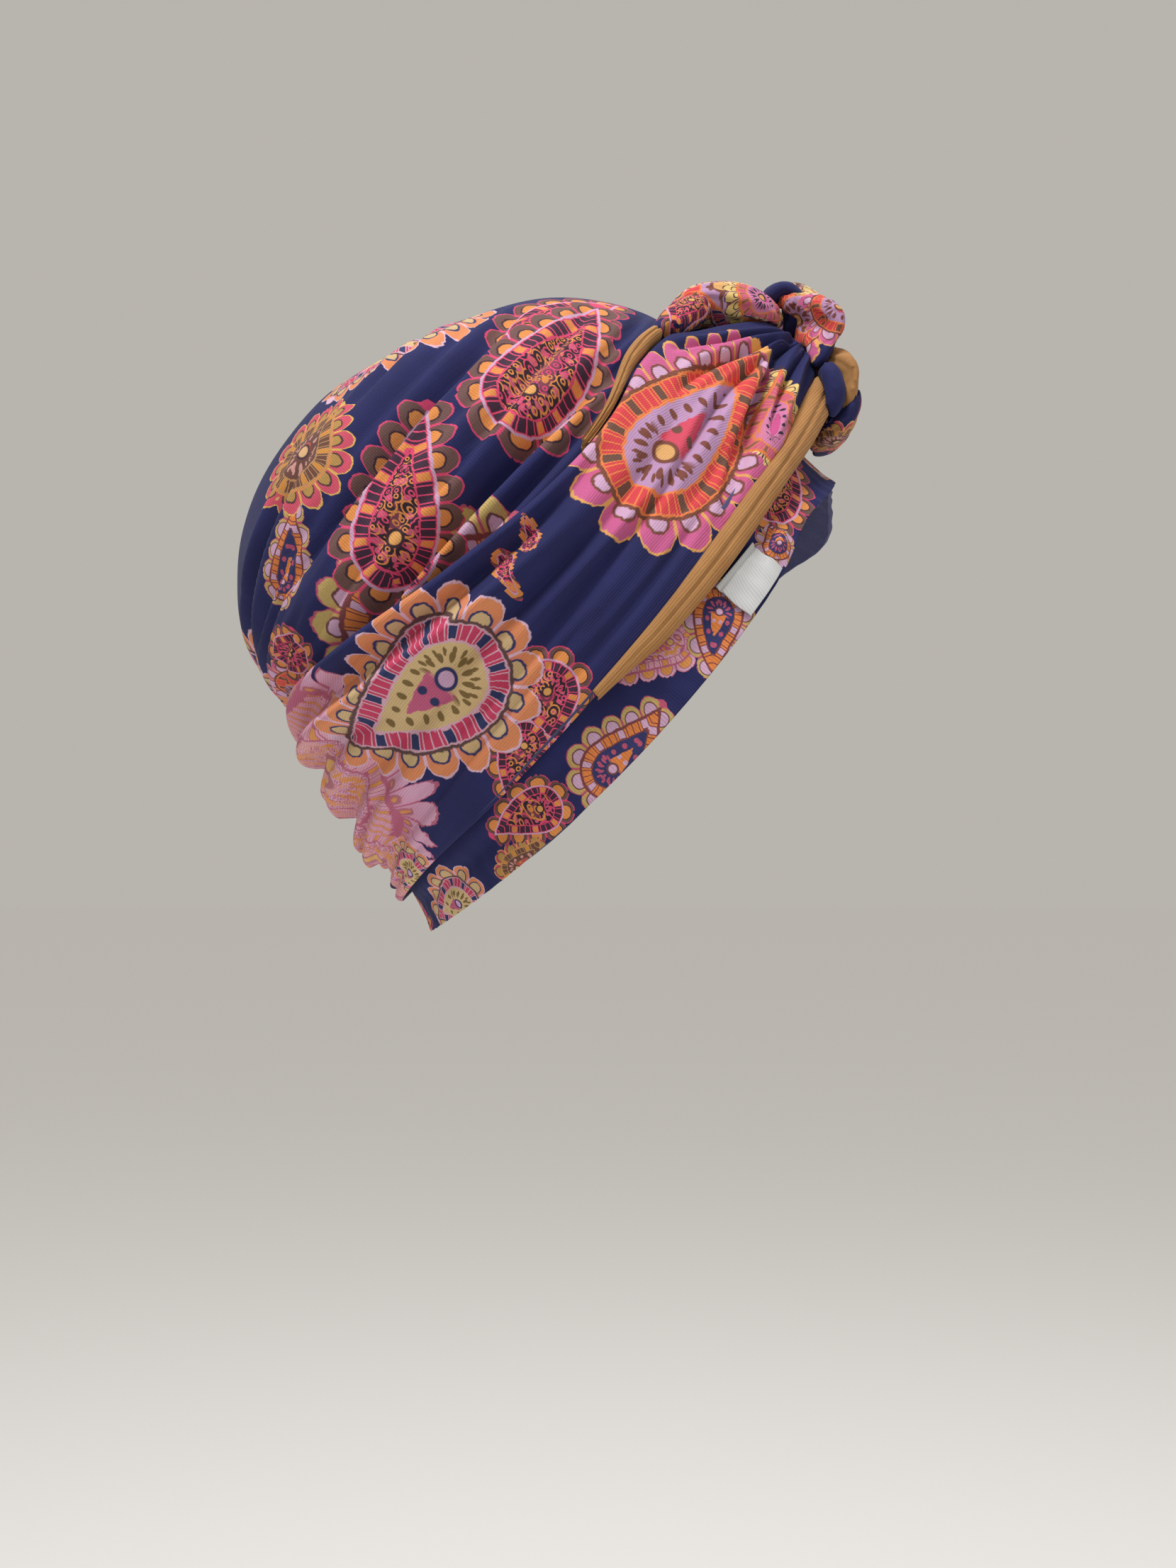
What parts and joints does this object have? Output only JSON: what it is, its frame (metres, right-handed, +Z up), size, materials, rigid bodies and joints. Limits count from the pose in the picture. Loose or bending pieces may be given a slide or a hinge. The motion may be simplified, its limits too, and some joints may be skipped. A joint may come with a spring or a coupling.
{
  "type": "knotted turban hat",
  "caption": "Soft jersey turban hat in its worn shape: slanting brim band, full crown bag, two folded side wraps with tan lining edges and a looped knot over the forehead.",
  "frame": {"origin": "the seat on top of the wearer's head, inside the crown, above the middle of the ears", "axes": "+X to the wearer's front, +Y to the wearer's left, +Z up as worn; the brim's plane slopes 48 degrees, forehead up"},
  "size_m": [0.2243, 0.1747, 0.2371],
  "materials": {
    "printed_jersey": "navy cotton jersey with a large paisley print in pink, orange, lilac, crimson, ochre and brown, fine vertical knit ribs, matt",
    "tan_lining": "plain camel cotton jersey lining with fine knit ribs, matt",
    "label_ribbon": "folded white woven satin ribbon, bare, with a slight sheen"
  },
  "bodies": {
    "root": {"brim_band": "printed_jersey", "crown_bag": "printed_jersey", "wrap_right": "printed_jersey", "wrap_left": "printed_jersey", "lining_hem_right": "tan_lining", "lining_hem_left": "tan_lining", "lining_strip_right": "tan_lining", "lining_strip_left": "tan_lining", "label": "label_ribbon", "knot_core": "printed_jersey", "knot_top_loop": "printed_jersey", "knot_navy_arch": "printed_jersey", "knot_pink_loop": "printed_jersey", "knot_tan_loop": "tan_lining", "knot_lower_loop": "printed_jersey", "knot_side_roll": "printed_jersey", "knot_twist": "printed_jersey"}
  },
  "joints": []
}
